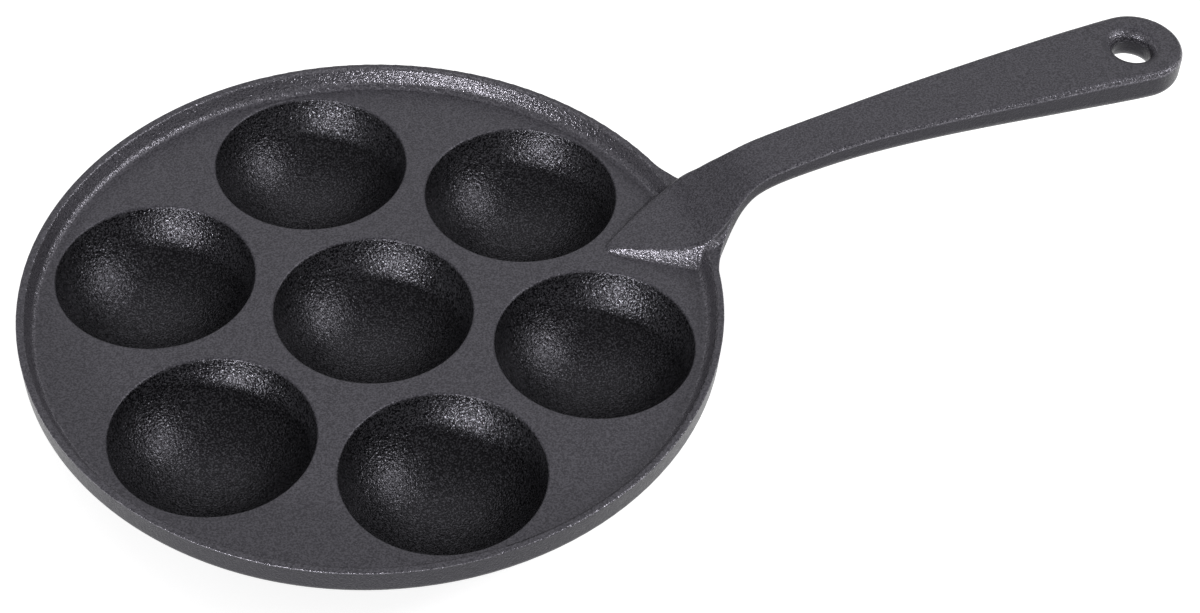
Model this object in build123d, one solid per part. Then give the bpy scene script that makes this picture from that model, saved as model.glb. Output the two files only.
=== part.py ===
from build123d import *
from math import cos, radians, sin, sqrt, tan
import os

os.makedirs("parts", exist_ok=True)

# A cast-iron aebleskiver pan: one casting, written as the features that a founder would name.
# Millimetres and degrees. The origin is on the plane of the feet, under the pan's axis.
# +X runs along the handle and +Z is up.

# Wells
well_mouth_radius = 33.0  # where the bowl would meet the plate's top without its rounded edge
well_depth = 25.0
well_wall = 3.5
foot_wall = 2.8
well_gap = 8.0  # on the plate, between the mouths of two neighbours
outer_well_count = 6
well_pattern_turn = 28.6  # from the handle to the first well
well_edge_radius = 0.8
well_root_fillet = 1.5
well_root_angle = 20.0  # where the root fillet stops, off the plate's underside

# Plate and rim
plate_thickness = 4.3
well_rim_gap = 8.3  # from an outer well's mouth to the rim's outer edge
rim_height = 6.2
rim_land = 2.5
rim_inner_draft = 20.0
rim_outer_draft = 3.0
rim_foot_fillet = 3.0
rim_foot_margin = 0.3
rim_inner_edge_radius = 1.0
rim_outer_edge_radius = 0.4
rim_bottom_radius = 3.0

# Handle
wedge_length = 32.7  # from the wedge's tip to the rim's outer edge
handle_length = 181.9  # from the rim's outer edge to the handle's far end
handle_rise = 36.07  # the handle's top at its end, above the plate
handle_thickness = 12.3
handle_foot_drop = 0.4  # from the rim's crest down to the top of the handle's root
neck_half_width = 9.25
neck_fillet = 27.0  # in plan, from the neck to the rim's outer wall
neck_fillet_bite = 1.0  # how far the neck's fillets run into the rim's wall before they end
handle_top_radius = 1.3  # on the wedge and the neck, from where it grows to that of the eye
eye_top_radius = 2.4
handle_bottom_radius = 4.0
wedge_tip_edge_radius = 0.2
hang_hole_radius = 6.6
hang_hole_throat = 2.6  # the straight part of the hole, between its two lips
hang_hole_land = 1.2  # from the lower lip to the rounding of the handle's lower edge
hang_hole_inset = 1.15  # from the centre of the handle's round end in to the hole's axis
eye_margin = 2.3  # from the eye's start to the hole's lip

overrun = 60.0  # how far every cutting tool runs past what it cuts

# Lines of the handle. A row's first number is a station along it: -1 is the wedge's tip, 0 is where
# the neck's fillets end in the rim's wall, 1 is where they begin on the neck and 2 is the eye.
# A height is a level: -1 is the plate's top, 0 is the foot of the handle, just under the rim's
# crest, and 1 is the handle's top at its end.
# Wedge: station, top's level, top's half width as a share of the neck's
wedge_shares = (
    (-1.000, -0.912, 0.088),
    (-0.808, -0.580, 0.389),
    (-0.577, -0.366, 0.778),
    (-0.384, -0.209, 1.103),
    (-0.192, -0.059, 1.382),
    (-0.038, 0.034, 1.553),
    (0.083, 0.092, 1.638),
    (0.206, 0.176, 1.643),
    (0.330, 0.252, 1.546),
    (0.453, 0.336, 1.395),
    (0.577, 0.423, 1.242),
)
# Where the wedge's sides run out: the foot's half width as a share of the neck's, its level
# and the level of the hidden bottom
wedge_foot_shares = (
    (0.193, -1.056, -1.282),
    (0.709, -1.056, -1.345),
    (1.192, -1.056, -1.345),
    (1.620, -1.056, -1.345),
    (2.048, -1.056, -1.345),
    (2.216, -0.893, -1.345),
    (2.216, 0.008, -1.251),
    (1.890, 0.008, -1.126),
    (1.620, 0.085, -0.623),
    (1.413, 0.265, 0.037),
    (1.215, 0.325, 0.181),
)
# The flare from the rim's wall to the neck: station, top's level, thickness as a share of the end's
flare_shares = (
    (0.017, 0.001, 0.687),
    (0.058, 0.001, 0.687),
    (0.100, 0.001, 0.684),
    (0.157, 0.002, 0.681),
    (0.215, 0.010, 0.687),
    (0.289, 0.075, 0.758),
    (0.379, 0.196, 0.843),
    (0.478, 0.330, 0.840),
    (0.577, 0.429, 0.764),
    (0.692, 0.512, 0.716),
    (0.823, 0.584, 0.692),
    (1.000, 0.650, 0.692),
)
# The bar from the neck to the eye: the same three, and its half width as a share of the way from
# the neck's to the end's
bar_shares = (
    (1.047, 0.697, 0.678, -0.012),
    (1.114, 0.751, 0.704, -0.024),
    (1.197, 0.802, 0.716, -0.006),
    (1.347, 0.868, 0.734, 0.116),
    (1.496, 0.910, 0.755, 0.298),
    (1.663, 0.945, 0.820, 0.507),
    (1.812, 0.972, 0.897, 0.689),
    (1.912, 0.990, 0.956, 0.802),
    (1.970, 0.998, 0.988, 0.865),
    (2.000, 1.000, 1.000, 0.896),
)
# The root ends and the grip begins where the bar does
grip_start_share = bar_shares[0][0]
grip_end_share = bar_shares[-1][0]
eye_side_slope = 0.06  # how fast the eye's sides still widen where the grip ends
# Curve of the wedge's side, from its top edge down and out to its foot
cove_drop_share = 0.70
cove_reach_share = 0.15

# A middle well and two outer ones lie along each line through three of them
well_pitch_radius = 2 * well_mouth_radius + well_gap
rim_outer_radius = well_pitch_radius + well_mouth_radius + well_rim_gap
plate_top = well_depth + foot_wall
rim_crest = plate_top + rim_height
plate_underside = plate_top - plate_thickness
rim_inner_radius = rim_outer_radius - rim_land
rim_foot_radius = rim_inner_radius - rim_height * tan(radians(rim_inner_draft))
rim_foot_setback = rim_foot_fillet * tan(radians((90 - rim_inner_draft) / 2))
plate_radius = rim_foot_radius - rim_foot_setback - rim_foot_margin

# The bowl is part of a sphere about a point above the plate, and so is the shell round it
bowl_radius = (well_mouth_radius**2 + well_depth**2) / (2 * well_depth)
bowl_centre = plate_top + bowl_radius - well_depth
shell_radius = bowl_radius + well_wall
edge_centre_z = plate_top - well_edge_radius
well_seat_radius = sqrt((bowl_radius + well_edge_radius) ** 2 - (bowl_centre - edge_centre_z) ** 2)

handle_foot = rim_crest - handle_foot_drop
handle_top = plate_top + handle_rise
handle_end_radius = rim_outer_radius + handle_length
hang_hole_lip_radius = (handle_thickness - hang_hole_throat) / 2
hang_hole_lip_reach = hang_hole_radius + hang_hole_lip_radius
handle_end_half_width = hang_hole_lip_reach + hang_hole_land + handle_bottom_radius
end_arc_centre = handle_end_radius - handle_end_half_width
hang_hole_centre = end_arc_centre - hang_hole_inset
flare_centre_y = neck_half_width + neck_fillet
flare_reach = rim_outer_radius - neck_fillet_bite + neck_fillet
flare_centre_x = sqrt(flare_reach**2 - flare_centre_y**2)
stations = (
    rim_outer_radius - wedge_length,
    flare_centre_x * (flare_reach - neck_fillet) / flare_reach,
    flare_centre_x,
    hang_hole_centre - hang_hole_lip_reach - eye_margin,
)


def place(station):
    """How far from the pan's axis a station of the handle lies."""
    before = min(int(station + 1), len(stations) - 2)
    start, end = stations[before : before + 2]
    return start + (station + 1 - before) * (end - start)


def height(level):
    """The height of a level of the handle."""
    step = handle_foot - plate_top if level < 0 else handle_top - handle_foot
    return handle_foot + level * step


def arc(centre, start, end):
    """The shorter arc from start to end of a circle about centre."""
    centre, start, end = Vector(*centre), Vector(*start), Vector(*end)
    outward = (start + end - 2 * centre).normalized()
    return ThreePointArc(start, centre + outward * (start - centre).length, end)


def revolved(lines):
    """The solid of revolution about the pan's axis of a profile of radius and height."""
    return revolve(Plane.XZ * make_face(lines), Axis.Z)


def towards(start, end, share):
    """The point at a share of the way from start to end."""
    return tuple(a + share * (b - a) for a, b in zip(start, end))


def well():
    """One well on the pan's axis: a bowl with a rounded edge, its seat and its flat foot."""
    centre = (0, bowl_centre)
    bowl_floor = (0, foot_wall)
    edge_centre = (well_seat_radius, edge_centre_z)
    edge_start = towards(centre, edge_centre, bowl_radius / (bowl_radius + well_edge_radius))
    edge_end = (well_seat_radius, plate_top)
    seat = (well_seat_radius, plate_underside)
    fillet_z = plate_underside - well_root_fillet * cos(radians(well_root_angle))
    fillet_reach = shell_radius + well_root_fillet
    fillet_centre = (sqrt(fillet_reach**2 - (bowl_centre - fillet_z) ** 2), fillet_z)
    toe = (fillet_centre[0] - well_root_fillet * sin(radians(well_root_angle)), plate_underside)
    heel = towards(centre, fillet_centre, shell_radius / fillet_reach)
    foot = (sqrt(shell_radius**2 - bowl_centre**2), 0)
    return revolved(
        [
            arc(centre, bowl_floor, edge_start),
            arc(edge_centre, edge_start, edge_end),
            Line(edge_end, seat),
            Line(seat, toe),
            arc(fillet_centre, toe, heel),
            arc(centre, heel, foot),
            Line(foot, (0, 0)),
            Line((0, 0), bowl_floor),
        ]
    )


def well_places():
    """Where each outer well stands."""
    step = 360 / outer_well_count
    for number in range(outer_well_count):
        turn = radians(well_pattern_turn + number * step)
        yield Pos(well_pitch_radius * cos(turn), well_pitch_radius * sin(turn), 0)


def deck():
    """The plate inside the rim, with an opening for each well."""
    plate = Pos(0, 0, plate_underside) * extrude(Circle(plate_radius), plate_thickness)
    opening = extrude(Circle(well_seat_radius), plate_top + overrun)
    for spot in (Pos(0, 0, 0), *well_places()):
        plate -= spot * opening
    return plate


def rim():
    """The raised rim round the plate, with its foot fillet and its rolled outer bottom."""
    bottom_radius = rim_outer_radius - (rim_height + plate_thickness) * tan(radians(rim_outer_draft))
    corners = [
        (plate_radius, plate_underside),
        (plate_radius, plate_top),
        (rim_foot_radius, plate_top),
        (rim_inner_radius, rim_crest),
        (rim_outer_radius, rim_crest),
        (bottom_radius, plate_underside),
    ]
    radii = (rim_foot_fillet, rim_inner_edge_radius, rim_outer_edge_radius, rim_bottom_radius)
    outline = make_face(Polyline(*corners, close=True))
    for corner, radius in zip(corners[2:], radii):
        nearest = outline.vertices().sort_by_distance((*corner, 0))[0]
        outline = fillet(nearest, radius)
    return revolve(Plane.XZ * outline, Axis.Z)


def across(station):
    """The upright plane across the handle at a station."""
    return Plane(origin=(place(station), 0, 0), x_dir=(0, 1, 0), z_dir=(1, 0, 0))


def wedge_section(station, top_level, width_share, foot_share, foot_level, bottom_level):
    """One cross-section of the wedge: flat top, rounded edges and sides that run out in a cove."""
    top = height(top_level)
    half = width_share * neck_half_width
    foot_half = foot_share * neck_half_width
    foot = height(foot_level)
    bottom = height(bottom_level)
    growth = (station - wedge_shares[0][0]) / (wedge_shares[-1][0] - wedge_shares[0][0])
    edge = wedge_tip_edge_radius + (handle_top_radius - wedge_tip_edge_radius) * growth
    reach = cove_reach_share * (foot_half - half)
    shoulder = top - edge
    side = [
        (half, shoulder),
        (half, shoulder + cove_drop_share * (foot - shoulder)),
        (half + reach, foot),
        (foot_half - reach, foot),
        (foot_half, foot),
        (foot_half, bottom),
    ]
    other_side = [(-y, z) for y, z in reversed(side)]
    lines = [
        Line((edge - half, top), (half - edge, top)),
        arc((half - edge, shoulder), (half - edge, top), (half, shoulder)),
        Bezier(*side),
        Line((foot_half, bottom), (-foot_half, bottom)),
        Bezier(*other_side),
        arc((edge - half, shoulder), (-half, shoulder), (edge - half, top)),
    ]
    return across(station) * make_face(lines)


def wedge():
    """The ramp that carries the handle's flat top down over the rim to a point on the plate."""
    return loft([wedge_section(*top, *foot) for top, foot in zip(wedge_shares, wedge_foot_shares)])


def bar_section(station, top_level, thickness_share, half, top_radius):
    """One cross-section of the bar: upright sides, sharper edges above than below."""
    thickness = thickness_share * handle_thickness
    face = Pos(0, height(top_level) - thickness / 2) * Rectangle(2 * half, thickness)
    face = fillet(face.vertices().group_by(Axis.Y)[-1], top_radius)
    face = fillet(face.vertices().group_by(Axis.Y)[0], handle_bottom_radius)
    return across(station) * face


def bar_half(share):
    """Half the bar's width at a share of the way from the neck's to the end's."""
    return neck_half_width + share * (handle_end_half_width - neck_half_width)


def handle_bar():
    """The handle from inside the rim's wall to the eye: the flare, the neck and the widening bar."""
    sections = []
    for station, top_level, thickness_share in flare_shares:
        inward = flare_centre_x - place(station)
        half = flare_centre_y - sqrt(neck_fillet**2 - inward**2)
        sections.append(bar_section(station, top_level, thickness_share, half, handle_top_radius))
    for station, top_level, thickness_share, width_share in bar_shares:
        growth = width_share / bar_shares[-1][-1]
        top_radius = handle_top_radius + (eye_top_radius - handle_top_radius) * growth**2
        sections.append(bar_section(station, top_level, thickness_share, bar_half(width_share), top_radius))
    return loft(sections)


def handle_eye():
    """The flat round end of the handle, with the hanging hole's two lips."""
    corner = (place(grip_end_share), bar_half(bar_shares[-1][-1]))
    arc_start = (end_arc_centre, handle_end_half_width)
    side = Spline(corner, arc_start, tangents=((1, eye_side_slope), (1, 0)))
    end = ThreePointArc(arc_start, (handle_end_radius, 0), (end_arc_centre, -handle_end_half_width))
    start = Line(corner, (corner[0], -corner[1]))
    outline = make_face([side, end, mirror(side, Plane.XZ), start])
    eye = Pos(0, 0, handle_top - handle_thickness) * extrude(outline, handle_thickness)
    for level, radius in ((-1, eye_top_radius), (0, handle_bottom_radius)):
        face = eye.faces().filter_by(Plane.XY).sort_by(Axis.Z)[level]
        round_the_eye = face.edges().sort_by(Axis.X)[1:]  # all but the one that meets the grip
        eye = fillet(round_the_eye, radius)
    eye -= Pos(hang_hole_centre, 0, 0) * extrude(Circle(hang_hole_radius), handle_top + overrun)
    circles = eye.edges().filter_by(GeomType.CIRCLE)
    lips = circles.filter_by(lambda edge: edge.radius == hang_hole_radius)
    return fillet(lips, hang_hole_lip_radius)


def stretch(start, end):
    """A block that holds everything of the handle from one distance to another."""
    block = Box(end - start, 2 * overrun, 2 * overrun)
    return Pos((start + end) / 2, 0, plate_top) * block


def handle_root(bar, plate, ring):
    """The wedge and the neck, seated on the plate and the rim."""
    neck = bar & stretch(0, place(grip_start_share))
    inside = extrude(Circle(rim_outer_radius - rim_land / 2), handle_top + overrun)
    return neck - inside + wedge() - plate - ring


plate = deck()
ring = rim()
bar = handle_bar()
nodes = {
    "deck": plate,
    "rim": ring,
    "well_centre": well(),
    "handle_root": handle_root(bar, plate, ring),
    "handle_grip": bar & stretch(place(grip_start_share), place(grip_end_share)),
    "handle_eye": handle_eye(),
}
for number, spot in enumerate(well_places(), start=1):
    nodes[f"well_{number}"] = spot * well()
for name, node in nodes.items():
    export_step(node, f"parts/{name}.step")
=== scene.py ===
from math import cos, pi, radians, sin, sqrt, tan

import bmesh
import bpy
import numpy as np
from mathutils import Matrix, Vector
from mathutils.bvhtree import BVHTree


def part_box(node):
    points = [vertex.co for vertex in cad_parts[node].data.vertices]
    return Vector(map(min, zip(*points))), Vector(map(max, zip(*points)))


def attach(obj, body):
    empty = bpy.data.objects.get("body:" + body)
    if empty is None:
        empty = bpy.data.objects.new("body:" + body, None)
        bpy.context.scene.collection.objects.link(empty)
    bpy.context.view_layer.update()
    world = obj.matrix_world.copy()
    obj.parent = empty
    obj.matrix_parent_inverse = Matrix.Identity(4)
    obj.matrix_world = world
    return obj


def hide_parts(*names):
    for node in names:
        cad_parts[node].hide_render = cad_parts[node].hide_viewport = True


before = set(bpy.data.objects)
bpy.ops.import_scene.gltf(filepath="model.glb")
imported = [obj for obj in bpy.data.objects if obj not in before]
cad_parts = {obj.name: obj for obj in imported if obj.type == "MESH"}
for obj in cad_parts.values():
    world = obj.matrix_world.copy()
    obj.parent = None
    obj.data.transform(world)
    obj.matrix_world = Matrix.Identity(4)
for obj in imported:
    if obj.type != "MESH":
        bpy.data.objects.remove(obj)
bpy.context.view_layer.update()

# The photograph's view, in metres and degrees
IMAGE_WIDTH = 1200
FOCAL_LENGTH = 2671  # in pixels of the image
SENSOR_WIDTH = 36.0
VIEW_AZIMUTH = -24.24
VIEW_ELEVATION = 46.05
VIEW_ROLL = 3.44
VIEW_DISTANCE = 0.884265
VIEW_TARGET = Vector((0.070742, -0.023988, 0.0278))
CLIP_START = 0.01
CLIP_END = 20

AWAY = Vector((-sin(radians(VIEW_AZIMUTH)), cos(radians(VIEW_AZIMUTH)), 0))
RIGHT = Vector((cos(radians(VIEW_AZIMUTH)), sin(radians(VIEW_AZIMUTH)), 0))
UP = Vector((0, 0, 1))

# Light. A brightness of 1 is that of a white sheet in full light
WORLD_LEVEL = 0.30
FLOOR_REACH = 4.0
FLOOR_TONE = 0.8
FLOOR_GLOW = 0.70
OVERHEAD_SOFTBOX = {
    "azimuth": -8,
    "elevation": 58,
    "distance": 1.5,
    "width": 2.6,
    "height": 2.4,
    "brightness": 0.5,
}
RIGHT_SOFTBOX = {
    "azimuth": 84,
    "elevation": 38,
    "distance": 2.4,
    "width": 0.857,
    "height": 0.857,
    "brightness": 11,
}
FRONT_SOFTBOX = {
    "azimuth": -158,
    "elevation": 11.2,
    "distance": 1.4,
    "width": 0.95,
    "height": 0.06,
    "brightness": 100,
}

# The pan's sizes near the handle's root, as the solids have them
PLATE_TOP = 0.0278
RIM_CREST = 0.0340
RIM_OUTER = 0.1153
RIM_LAND = 0.0025
INNER_SLOPE = tan(radians(20))
OUTER_SLOPE = tan(radians(3))
RIM_FILLET = 0.003
CREST_EDGE = 0.0010
FLARE_UNDERSIDE = 0.0252
BOTTOM_EDGE = 0.004
NECK_HALF_WIDTH = 0.00925
NECK_FILLET = 0.027
NECK_BITE = 0.001
FLARE_Y = NECK_HALF_WIDTH + NECK_FILLET
FLARE_X = sqrt((RIM_OUTER - NECK_BITE + NECK_FILLET) ** 2 - FLARE_Y**2)

# The handle's lines, read off the solids
LINE_STEP = 0.0005
LINE_SMOOTHING = 0.0030
SIDE_DEPTH = 0.0016  # how far under the top its half width is read
SIDE_DEPTH_SHARE = 0.35  # the same, as a share of a thin wedge's height
FAR_OFF = 0.2

# The root's smooth skin. A pair of places lies along the handle, and a size eases from its
# first value to its second between them.
CELL = 0.00045
SETTLING_PASSES = 4
LEAST_SLOPE = 0.1  # squared, so that no point is thrown off where the shape is flat
SAME_PLACE = 0.000002  # points nearer than this are one point
SKIN_LOW = (0.0790, -0.0410, 0.0235)
SKIN_HIGH = (0.1447, 0.0410, 0.0570)
HIDDEN = 0.00003  # how far the skin runs under the surfaces that it meets
ROOT_OVERLAP = 0.001
THINNEST_WEDGE = 0.0002
SIDE_LEAN = (0.84, 0)
SIDE_LEAN_PLACES = (0.1070, 0.1190)
SIDE_SLANT = 0.70  # share of the lean that is a plain slant, and the rest flares at the foot
SIDE_FLARE_POWER = 4
SIDE_END = 1.3  # where the sides stop leaning out, as a share of the wedge's height from its top
TOP_EDGE = (0.0003, 0.0013)
TOP_EDGE_PLACES = (0.0830, 0.1120)
UNDERSIDE_PLACES = (0.1150, 0.1170)
FLARE_SINK = (0, 0.0015)
FLARE_SINK_PLACES = (0.1240, 0.1300)
FLARE_COVE = (0.005, 0.001)  # eased by how far aside the flare is
FLARE_COVE_ASIDE = (0.0200, 0.0295)
SHOULDER_DROP = 0.0010
SHOULDER_PLACES = (0.1155, 0.1250)
SEAM_EDGE = 0.0005
PLATE_STRIP = (0.0025, 0.0060)  # how far the skin runs out over the plate beside the wedge
PLATE_STRIP_PLACES = (0.1000, 0.1120)
RIM_STRIP_ASIDE = 0.0395
RIM_STRIP_START = 0.108
FOOT_COVE = (0.0005, 0.0025)
FOOT_COVE_PLACES = (0.1080, 0.1140)
NECK_COVE_LOSS = (0, 0.0022)
NECK_COVE_PLACES = (0.1170, 0.1230)

# Where slanted faces get a painted highlight: a paler, glossier and more metallic grain. A rise is the
# upward part of a normal: 0 on an upright wall and
# 1 on a level face
HIGHLIGHT_ASIDE = (-0.0004, 0.0001)  # on the skin, from the edge of the flat top
HIGHLIGHT_SHARE = 0.9
HIGHLIGHT_RISE = (0.15, 0.25)  # where upright walls end
FLAT_RISE = (0.88, 0.94)  # where flat faces begin
HANDLE_FLAT_RISE = (0.74, 0.84)  # the same on the handle, whose top slopes
WALL_SHADE_RISE = (0.02, 0.16)  # where the painted shade of upright walls fades
WELL_RISE = (0, 0.15)  # where a well's inside begins
WELL_LEVEL = (PLATE_TOP - 0.0009, PLATE_TOP - 0.0001)  # where it ends, under the plate's top
WORN_RISE = (0.55, 0.85)  # where a well's wall turns into its smoother bottom

# Grain of the iron: the size of its grains, the depth of its relief and the detail of its noise
GRAIN_SIZE = 0.0006
GRAIN_DEPTH = 0.00020
COARSE_SIZE = 0.0010
PEEL_SIZE = 0.0022
PEEL_DEPTH = 0.00008
SWEEP_SIZE = 0.014
SWEEP_DEPTH = 0.00010
GRAIN_DETAIL = (1, 0.6)
SMOOTH_DETAIL = (2, 0.5)
SPECKLE = (0.35, 0.65)  # the part of the noise over which a tone turns from dark to pale
PATCHES = (0.3, 0.7)  # the same for roughness

# Tones of the grain and the oil baked on it, with painted shade on upright walls and a painted
# highlight on slanted faces
OIL_IOR = 1.5
GLOSS_TINT = (1.0, 0.97, 1.10)
PLAIN_FINISH = {
    "pale": (0.081, 0.078, 0.090),
    "dark": (0.019, 0.018, 0.022),
    "roughness": (0.28, 0.36),
    "gloss": (0.5, 0.3),  # on flat faces and on upright walls
}
# Painted shade: upright walls get these darker tones
PAINTED_WALL_SHADE = {"pale": (0.020, 0.019, 0.024), "dark": (0.006, 0.006, 0.008)}
# Painted highlight: paler, glossier and more metallic grain on slanted faces of the rim and the handle
# and on the root's cove
PAINTED_HIGHLIGHT_FINISH = {
    "pale": (0.220, 0.212, 0.238),
    "dark": (0.026, 0.025, 0.030),
    "roughness": (0.20, 0.28),
    "gloss": (0.88, 0.92),
    "metal": 0.85,
    "glints": (0.40, 0.65),
    "lumps": 0.00028,
}
WELL_FINISH = {
    "pale": (0.118, 0.116, 0.130),
    "dark": (0.002, 0.002, 0.0025),
    "roughness": (0.22, 0.30),
    "gloss": (0.30, 0.50),
    "metal": 0.95,
    "glints": (0.48, 0.66),
    "lumps": 0.00024,
    "worn": 0.7,
}


def direction(azimuth, elevation):
    """A direction from the pan: azimuth 0 is straight away from the camera and 90 is to its right."""
    a, e = radians(azimuth), radians(elevation)
    return (RIGHT * sin(a) + AWAY * cos(a)) * cos(e) + UP * sin(e)


def add_camera():
    back = direction(180, VIEW_ELEVATION)
    up = back.cross(RIGHT)
    roll = radians(VIEW_ROLL)
    across = RIGHT * cos(roll) + up * sin(roll)
    upward = up * cos(roll) - RIGHT * sin(roll)
    data = bpy.data.cameras.new("photo_camera")
    data.sensor_fit = "HORIZONTAL"
    data.sensor_width = SENSOR_WIDTH
    data.lens = FOCAL_LENGTH * SENSOR_WIDTH / IMAGE_WIDTH
    data.clip_start = CLIP_START
    data.clip_end = CLIP_END
    camera = bpy.data.objects.new("photo_camera", data)
    bpy.context.scene.collection.objects.link(camera)
    axes = Matrix((across, upward, back)).transposed().to_4x4()
    camera.matrix_world = Matrix.Translation(VIEW_TARGET + back * VIEW_DISTANCE) @ axes
    bpy.context.scene.camera = camera


def add_softbox(name, azimuth, elevation, distance, width, height, brightness):
    """A soft lamp that faces the pan."""
    data = bpy.data.lights.new(name, "AREA")
    data.shape = "ELLIPSE"
    data.size = width
    data.size_y = height
    data.energy = brightness * pi * (pi * width * height / 4)
    lamp = bpy.data.objects.new(name, data)
    bpy.context.scene.collection.objects.link(lamp)
    way = direction(azimuth, elevation)
    turn = way.to_track_quat("Z", "Y").to_matrix().to_4x4()
    lamp.matrix_world = Matrix.Translation(VIEW_TARGET + way * distance) @ turn


def nodes_of(material):
    material.use_nodes = True
    tree = material.node_tree
    tree.nodes.clear()
    return tree


def link(tree, source, target):
    tree.links.new(source, target)


def add_world():
    """A plain even world."""
    world = bpy.data.worlds.new("studio")
    world.use_nodes = True
    bpy.context.scene.world = world
    tree = world.node_tree
    tree.nodes.clear()
    background = tree.nodes.new("ShaderNodeBackground")
    background.inputs["Color"].default_value = (1, 1, 1, 1)
    background.inputs["Strength"].default_value = WORLD_LEVEL
    out = tree.nodes.new("ShaderNodeOutputWorld")
    link(tree, background.outputs[0], out.inputs["Surface"])


def add_floor():
    """A pale floor that the camera and gloss see as white, with the pan's shadow on it."""
    mesh = bpy.data.meshes.new("floor")
    reach = FLOOR_REACH
    corners = [(-reach, -reach, 0), (reach, -reach, 0), (reach, reach, 0), (-reach, reach, 0)]
    mesh.from_pydata(corners, [], [(0, 1, 2, 3)])
    floor = bpy.data.objects.new("floor", mesh)
    bpy.context.scene.collection.objects.link(floor)
    material = bpy.data.materials.new("pale_floor")
    tree = nodes_of(material)
    diffuse = tree.nodes.new("ShaderNodeBsdfDiffuse")
    diffuse.inputs["Color"].default_value = (FLOOR_TONE, FLOOR_TONE, FLOOR_TONE, 1)
    path = tree.nodes.new("ShaderNodeLightPath")
    seen = path.outputs["Is Camera Ray"]
    for ray in ("Is Glossy Ray", "Is Transmission Ray"):
        seen = calculation(tree, "MAXIMUM", seen, path.outputs[ray])
    glow = tree.nodes.new("ShaderNodeEmission")
    glow.inputs["Color"].default_value = (1, 1, 1, 1)
    link(tree, ramp(tree, seen, 0, 1, 0, FLOOR_GLOW), glow.inputs["Strength"])
    both = tree.nodes.new("ShaderNodeAddShader")
    link(tree, diffuse.outputs[0], both.inputs[0])
    link(tree, glow.outputs[0], both.inputs[1])
    out = tree.nodes.new("ShaderNodeOutputMaterial")
    link(tree, both.outputs[0], out.inputs["Surface"])
    mesh.materials.append(material)


def noise(tree, coordinates, size, detail, roughness):
    node = tree.nodes.new("ShaderNodeTexNoise")
    node.inputs["Scale"].default_value = 1 / size
    node.inputs["Detail"].default_value = detail
    node.inputs["Roughness"].default_value = roughness
    link(tree, coordinates, node.inputs["Vector"])
    return node.outputs["Fac"]


def ramp(tree, value, low, high, start, end):
    """A value that goes from start to end as another goes from low to high."""
    node = tree.nodes.new("ShaderNodeMapRange")
    node.inputs["From Min"].default_value = low
    node.inputs["From Max"].default_value = high
    node.inputs["To Min"].default_value = start
    node.inputs["To Max"].default_value = end
    link(tree, value, node.inputs["Value"])
    return node.outputs["Result"]


def bump(tree, height, depth, normal=None):
    node = tree.nodes.new("ShaderNodeBump")
    node.inputs["Strength"].default_value = 1
    node.inputs["Distance"].default_value = depth
    link(tree, height, node.inputs["Height"])
    if normal is not None:
        link(tree, normal, node.inputs["Normal"])
    return node.outputs["Normal"]


def mixed(tree, share, first, second):
    """A colour that turns from the first into the second as the share goes from 0 to 1."""
    node = tree.nodes.new("ShaderNodeMix")
    node.data_type = "RGBA"
    link(tree, share, node.inputs[0])
    for socket, colour in ((node.inputs[6], first), (node.inputs[7], second)):
        if isinstance(colour, tuple):
            socket.default_value = (*colour, 1)
        else:
            link(tree, colour, socket)
    return node.outputs[2]


def blended(tree, share, first, second):
    node = tree.nodes.new("ShaderNodeMix")
    node.data_type = "FLOAT"
    link(tree, share, node.inputs[0])
    link(tree, first, node.inputs[2])
    link(tree, second, node.inputs[3])
    return node.outputs[0]


def calculation(tree, operation, a, b):
    node = tree.nodes.new("ShaderNodeMath")
    node.operation = operation
    for socket, value in zip(node.inputs, (a, b)):
        if isinstance(value, (int, float)):
            socket.default_value = value
        else:
            link(tree, value, socket)
    return node.outputs[0]


def height_of(tree, vector):
    node = tree.nodes.new("ShaderNodeSeparateXYZ")
    link(tree, vector, node.inputs[0])
    return node.outputs["Z"]


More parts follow.
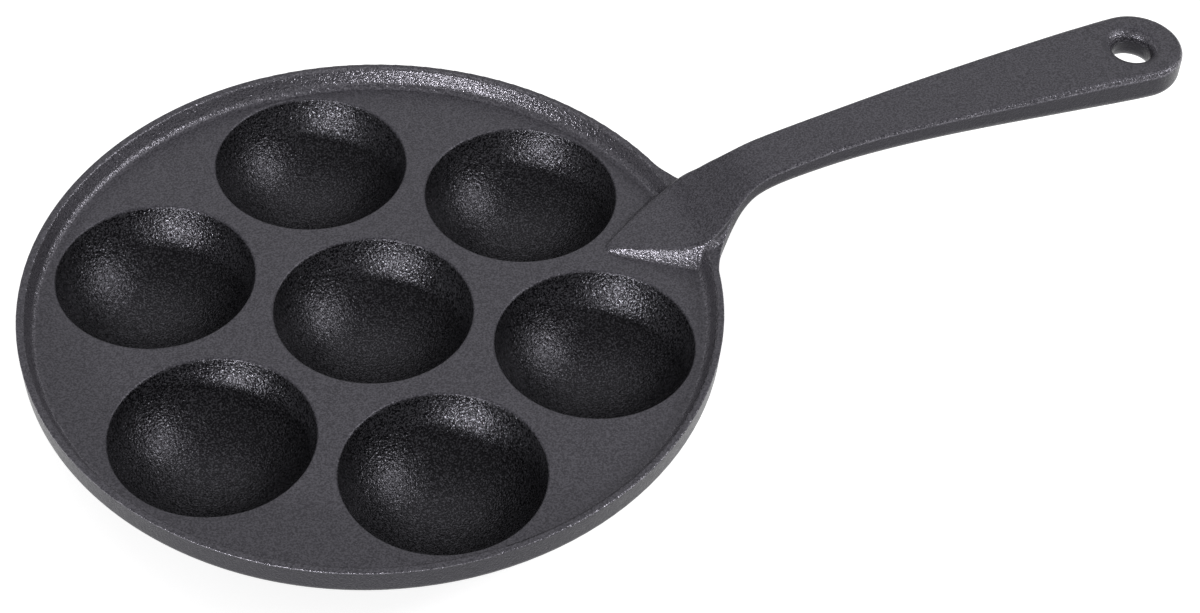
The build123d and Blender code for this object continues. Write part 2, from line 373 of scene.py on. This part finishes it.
def iron(name, zone):
    """Cast iron under baked oil: a plain finish with painted shade on upright walls, and in places a
    special one that the zone tells: the wells' own darker finish, or a painted highlight on slanted
    faces.
    """
    material = bpy.data.materials.new(name)
    tree = nodes_of(material)
    coordinates = tree.nodes.new("ShaderNodeTexCoord").outputs["Object"]
    rise = height_of(tree, tree.nodes.new("ShaderNodeNewGeometry").outputs["True Normal"])
    shader = tree.nodes.new("ShaderNodeBsdfPrincipled")
    shader.inputs["IOR"].default_value = OIL_IOR
    shader.inputs["Specular Tint"].default_value = (*GLOSS_TINT, 1)
    if zone == "well":
        below = ramp(tree, height_of(tree, coordinates), *WELL_LEVEL, 1, 0)
        special = calculation(tree, "MULTIPLY", below, ramp(tree, rise, *WELL_RISE, 0, 1))
        finish = WELL_FINISH
    # Painted highlight on the rim's and the handle's slanted faces, between upright walls and flat
    # faces
    elif zone in ("rim", "handle"):
        flat = HANDLE_FLAT_RISE if zone == "handle" else FLAT_RISE
        above_walls = ramp(tree, rise, *HIGHLIGHT_RISE, 0, 1)
        below_flats = ramp(tree, rise, *flat, 1, 0)
        special = calculation(tree, "MULTIPLY", above_walls, below_flats)
        finish = PAINTED_HIGHLIGHT_FINISH
    else:
        # Painted highlight where the root's skin is marked
        marked = tree.nodes.new("ShaderNodeAttribute")
        marked.attribute_name = "painted_highlight"
        special = marked.outputs["Fac"]
        finish = PAINTED_HIGHLIGHT_FINISH
    grain = noise(tree, coordinates, GRAIN_SIZE, *GRAIN_DETAIL)
    peel = noise(tree, coordinates, PEEL_SIZE, *SMOOTH_DETAIL)
    sweep = noise(tree, coordinates, SWEEP_SIZE, *SMOOTH_DETAIL)
    # Painted shade: upright walls get darker tones and less gloss
    wall = ramp(tree, rise, *WALL_SHADE_RISE, 1, 0)
    speckle = ramp(tree, grain, *SPECKLE, 0, 1)
    plain_tone = mixed(tree, speckle, PLAIN_FINISH["dark"], PLAIN_FINISH["pale"])
    wall_shade_tone = mixed(tree, speckle, PAINTED_WALL_SHADE["dark"], PAINTED_WALL_SHADE["pale"])
    glints = ramp(tree, grain, *finish["glints"], 0, 1)
    lump_share = special
    if "worn" in finish:
        worn = ramp(tree, rise, *WORN_RISE, 1, finish["worn"])
        glints = calculation(tree, "MULTIPLY", glints, worn)
        lump_share = calculation(tree, "MULTIPLY", special, worn)
    # The special tone: the wells' own finish, or the painted highlight on the rim, the handle and the
    # cove
    special_tone = mixed(tree, glints, finish["dark"], finish["pale"])
    tone = mixed(tree, special, mixed(tree, wall, plain_tone, wall_shade_tone), special_tone)
    link(tree, tone, shader.inputs["Base Color"])
    plain_rough = ramp(tree, peel, *PATCHES, *PLAIN_FINISH["roughness"])
    special_rough = ramp(tree, peel, *PATCHES, *finish["roughness"])
    link(tree, blended(tree, special, plain_rough, special_rough), shader.inputs["Roughness"])
    plain_gloss = ramp(tree, wall, 0, 1, *PLAIN_FINISH["gloss"])
    special_gloss = ramp(tree, glints, 0, 1, *finish["gloss"])
    link(tree, blended(tree, special, plain_gloss, special_gloss), shader.inputs["Specular IOR Level"])
    bare = calculation(tree, "MULTIPLY", special, ramp(tree, glints, 0, 1, 0, finish["metal"]))
    link(tree, bare, shader.inputs["Metallic"])
    coarse = noise(tree, coordinates, COARSE_SIZE, *GRAIN_DETAIL)
    lumps = calculation(tree, "MULTIPLY", coarse, lump_share)
    normal = bump(tree, sweep, SWEEP_DEPTH)
    normal = bump(tree, peel, PEEL_DEPTH, normal)
    normal = bump(tree, lumps, finish["lumps"], normal)
    normal = bump(tree, grain, GRAIN_DEPTH, normal)
    link(tree, normal, shader.inputs["Normal"])
    out = tree.nodes.new("ShaderNodeOutputMaterial")
    link(tree, shader.outputs[0], out.inputs["Surface"])
    return material


def smooth_step(value, low, high):
    share = np.clip((value - low) / (high - low), 0, 1)
    return share * share * (3 - 2 * share)


def rounded_edge(a, b, radius):
    """What lies inside both of two surfaces, with a rounded edge where they meet."""
    corner = np.hypot(np.maximum(a + radius, 0), np.maximum(b + radius, 0))
    return np.minimum(np.maximum(a, b), -radius) + corner


def cove(a, b, reach):
    """What lies inside either of two surfaces, with a soft cove where they meet."""
    share = np.clip((reach - np.abs(a - b)) / reach, 0, 1)
    return np.minimum(a, b) - share * share * reach / 4


def fillet(a, b, radius, cosine):
    """As cove, but with a true fillet, for two surfaces whose normals have this cosine."""
    u, v = radius - a, radius - b
    reach = np.sqrt(np.maximum(u * u + v * v - 2 * u * v * cosine, 0)) / np.sqrt(1 - cosine * cosine)
    return np.where((u > v * cosine) & (v > u * cosine), radius - reach, np.minimum(a, b))


def handle_lines():
    """The handle's top, underside and half width along its root, read off the frame."""
    points, faces = [], []
    for name in ("handle_root", "handle_grip"):
        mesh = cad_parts[name].data
        start = len(points)
        points += [v.co.copy() for v in mesh.vertices]
        faces += [[start + i for i in face.vertices] for face in mesh.polygons]
    tree = BVHTree.FromPolygons(points, faces)
    low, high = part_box("handle_root")
    along = np.arange(low.x + LINE_STEP / 2, high.x + ROOT_OVERLAP + LINE_STEP, LINE_STEP)
    lines = []
    for x in along:
        top = tree.ray_cast(Vector((x, 0, FAR_OFF)), Vector((0, 0, -1)))[0].z
        under = tree.ray_cast(Vector((x, 0, -FAR_OFF)), Vector((0, 0, 1)))[0].z
        level = top - min(SIDE_DEPTH, SIDE_DEPTH_SHARE * (top - PLATE_TOP))
        half = tree.ray_cast(Vector((x, FAR_OFF, level)), Vector((0, -1, 0)))[0].y
        lines.append((top, under, half))
    lines = np.array(lines)
    spread = int(LINE_SMOOTHING / LINE_STEP)
    weights = np.hanning(2 * spread + 3)[1:-1]
    weights /= weights.sum()
    before = 2 * lines[0] - lines[spread:0:-1]
    after = 2 * lines[-1] - lines[-2 : -spread - 2 : -1]
    padded = np.concatenate([before, lines, after])
    smooth = np.stack([np.convolve(padded[:, i], weights, "valid") for i in range(3)], axis=1)
    return along, smooth, high.x


def eased(place, places, values):
    """A size that eases from one value to another between two places."""
    return values[0] + (values[1] - values[0]) * smooth_step(place, *places)


def bar_shape(x, aside, z, top, half, under, start):
    """The wedge and the neck: a flat top, edges that round off and sides that lean out."""
    depth = np.maximum(top - PLATE_TOP, THINNEST_WEDGE)
    share = np.clip((top - z) / depth, 0, SIDE_END)
    lean = eased(x, SIDE_LEAN_PLACES, SIDE_LEAN)
    spread = lean * depth * (SIDE_SLANT * share + (1 - SIDE_SLANT) * share**SIDE_FLARE_POWER)
    side = (aside - half - spread) / np.sqrt(1 + lean * lean)
    bar = rounded_edge(side, under - z, BOTTOM_EDGE)
    bar = rounded_edge(z - top, bar, eased(x, TOP_EDGE_PLACES, TOP_EDGE))
    return np.maximum(bar, start - x)


def pan_shape(x, aside, z, top, half, under):
    """The plate, the rim and the flare from the rim to the neck."""
    radius = np.hypot(x, aside)
    wall = RIM_OUTER - RIM_LAND - (RIM_CREST - z) * INNER_SLOPE - radius
    upright = np.sqrt(1 + INNER_SLOPE**2)
    inner = fillet(z - PLATE_TOP, wall / upright, RIM_FILLET, INNER_SLOPE / upright)
    outer = radius - RIM_OUTER + (RIM_CREST - z) * OUTER_SLOPE
    flare = NECK_FILLET - np.hypot(x - FLARE_X, aside - FLARE_Y)
    flare = np.where(x < FLARE_X, flare, aside - half) + eased(x, FLARE_SINK_PLACES, FLARE_SINK)
    flare = np.where(aside * FLARE_X > x * FLARE_Y, outer + NECK_BITE, flare)
    plan = cove(flare, outer, eased(aside, FLARE_COVE_ASIDE, FLARE_COVE))
    shoulder = np.maximum(top - SHOULDER_DROP - RIM_CREST, 0) * smooth_step(x, *SHOULDER_PLACES)
    pan = rounded_edge(inner, z - RIM_CREST - shoulder, CREST_EDGE)
    return rounded_edge(pan, rounded_edge(plan, under - z, BOTTOM_EDGE), SEAM_EDGE)


def root_shape(along, lines, end):
    """A function of place that is negative inside the root and rises through its surface."""

    def shape(x, y, z):
        aside = np.abs(y)
        top, under, half = (np.interp(x, along, lines[:, i]) for i in range(3))
        under = FLARE_UNDERSIDE + smooth_step(x, *UNDERSIDE_PLACES) * (under - FLARE_UNDERSIDE)
        bar = bar_shape(x, aside, z, top, half, under, along[0])
        bar = bar + HIDDEN * smooth_step(x, end - ROOT_OVERLAP, end)
        pan = pan_shape(x, aside, z, top, half, under)
        strip = bar - eased(x, PLATE_STRIP_PLACES, PLATE_STRIP)
        rim_strip = np.maximum(aside - RIM_STRIP_ASIDE, RIM_STRIP_START - np.hypot(x, y))
        pan = np.maximum(pan + HIDDEN, np.minimum(strip, rim_strip))
        reach = eased(x, FOOT_COVE_PLACES, FOOT_COVE) - eased(x, NECK_COVE_PLACES, NECK_COVE_LOSS)
        return np.maximum(cove(bar, pan, reach), x - end - ROOT_OVERLAP)

    return shape


def mark_highlight_faces(piece, along, lines):
    """Marks the sides of the wedge and the rim's inner wall beside it for the painted highlight."""
    mesh = piece.data
    count = len(mesh.vertices)
    places = np.empty(3 * count)
    mesh.vertices.foreach_get("co", places)
    x, y, z = places.reshape(count, 3).T
    rise = np.array([vertex.normal.z for vertex in mesh.vertices])
    beside = smooth_step(np.abs(y) - np.interp(x, along, lines[:, 2]), *HIGHLIGHT_ASIDE)
    slanted = smooth_step(rise, *HIGHLIGHT_RISE) * (1 - smooth_step(rise, *FLAT_RISE))
    attribute = mesh.attributes.new("painted_highlight", "FLOAT", "POINT")
    attribute.data.foreach_set("value", (HIGHLIGHT_SHARE * beside * slanted).astype(np.float32))


def surface_mesh(name, shape, low, high, step):
    """A mesh of the surface where the shape is zero: one point in each cell that it crosses."""
    axes = [np.arange(a, b + step, step) for a, b in zip(low, high)]
    values = shape(*np.meshgrid(*axes, indexing="ij"))
    size = np.array(values.shape) - 1
    sums = np.zeros((size.prod(), 3))
    hits = np.zeros(size.prod())
    quads = []
    for axis in range(3):
        b, c = (axis + 1) % 3, (axis + 2) % 3
        before = np.moveaxis(values, axis, 0)[:-1]
        after = np.moveaxis(values, axis, 0)[1:]
        crossed = np.moveaxis((before < 0) != (after < 0), 0, axis)
        place = np.stack(np.nonzero(crossed), axis=1)
        across = place[:, (b, c)]
        place = place[((across > 0) & (across < size[[b, c]])).all(axis=1)]
        start = values[tuple(place.T)]
        step_on = place.copy()
        step_on[:, axis] += 1
        share = start / (start - values[tuple(step_on.T)])
        point = place.astype(float)
        point[:, axis] += share
        ring = []
        for db, dc in ((-1, -1), (0, -1), (0, 0), (-1, 0)):
            cell = place.copy()
            cell[:, b] += db
            cell[:, c] += dc
            flat = np.ravel_multi_index(tuple(cell.T), tuple(size))
            np.add.at(sums, flat, point)
            np.add.at(hits, flat, 1)
            ring.append(flat)
        ring = np.stack(ring, axis=1)
        ring[start > 0] = ring[start > 0][:, ::-1]
        quads.append(ring)
    used = np.nonzero(hits)[0]
    points = sums[used] / hits[used][:, None] * step + np.array(low)
    number = np.zeros(size.prod(), int)
    number[used] = np.arange(len(used))
    quads = number[np.concatenate(quads)]
    # Each point moves onto the surface itself
    reach = step / 20
    for _ in range(SETTLING_PASSES):
        value = shape(*points.T)
        nudges = np.eye(3) * reach
        rises = [shape(*(points + nudge).T) - shape(*(points - nudge).T) for nudge in nudges]
        slope = np.stack(rises, axis=1) / (2 * reach)
        move = slope * (value / np.maximum((slope**2).sum(axis=1), LEAST_SLOPE))[:, None]
        points -= np.clip(move, -step / 2, step / 2)
    mesh = bpy.data.meshes.new(name)
    mesh.from_pydata(points.tolist(), [], quads.tolist())
    joined = bmesh.new()
    joined.from_mesh(mesh)
    bmesh.ops.remove_doubles(joined, verts=joined.verts, dist=SAME_PLACE)
    joined.to_mesh(mesh)
    joined.free()
    mesh.shade_smooth()
    piece = bpy.data.objects.new(name, mesh)
    bpy.context.scene.collection.objects.link(piece)
    return piece


add_camera()
add_world()
add_floor()
add_softbox("overhead_softbox", **OVERHEAD_SOFTBOX)
add_softbox("right_softbox", **RIGHT_SOFTBOX)
add_softbox("front_softbox", **FRONT_SOFTBOX)
bpy.context.scene.view_settings.view_transform = "Standard"

irons = {zone: iron(f"seasoned_iron_painted_light_{zone}", zone) for zone in ("plain", "rim", "handle", "well")}
for name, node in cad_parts.items():
    zone = name.split("_")[0]
    for place in node.material_slots:
        place.material = irons.get(zone, irons["plain"])

along, lines, end = handle_lines()
shape = root_shape(along, lines, end)
root = surface_mesh("handle_root_skin", shape, SKIN_LOW, SKIN_HIGH, CELL)
root.data.materials.append(irons["plain"])
mark_highlight_faces(root, along, lines)
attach(root, "root")
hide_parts("handle_root")
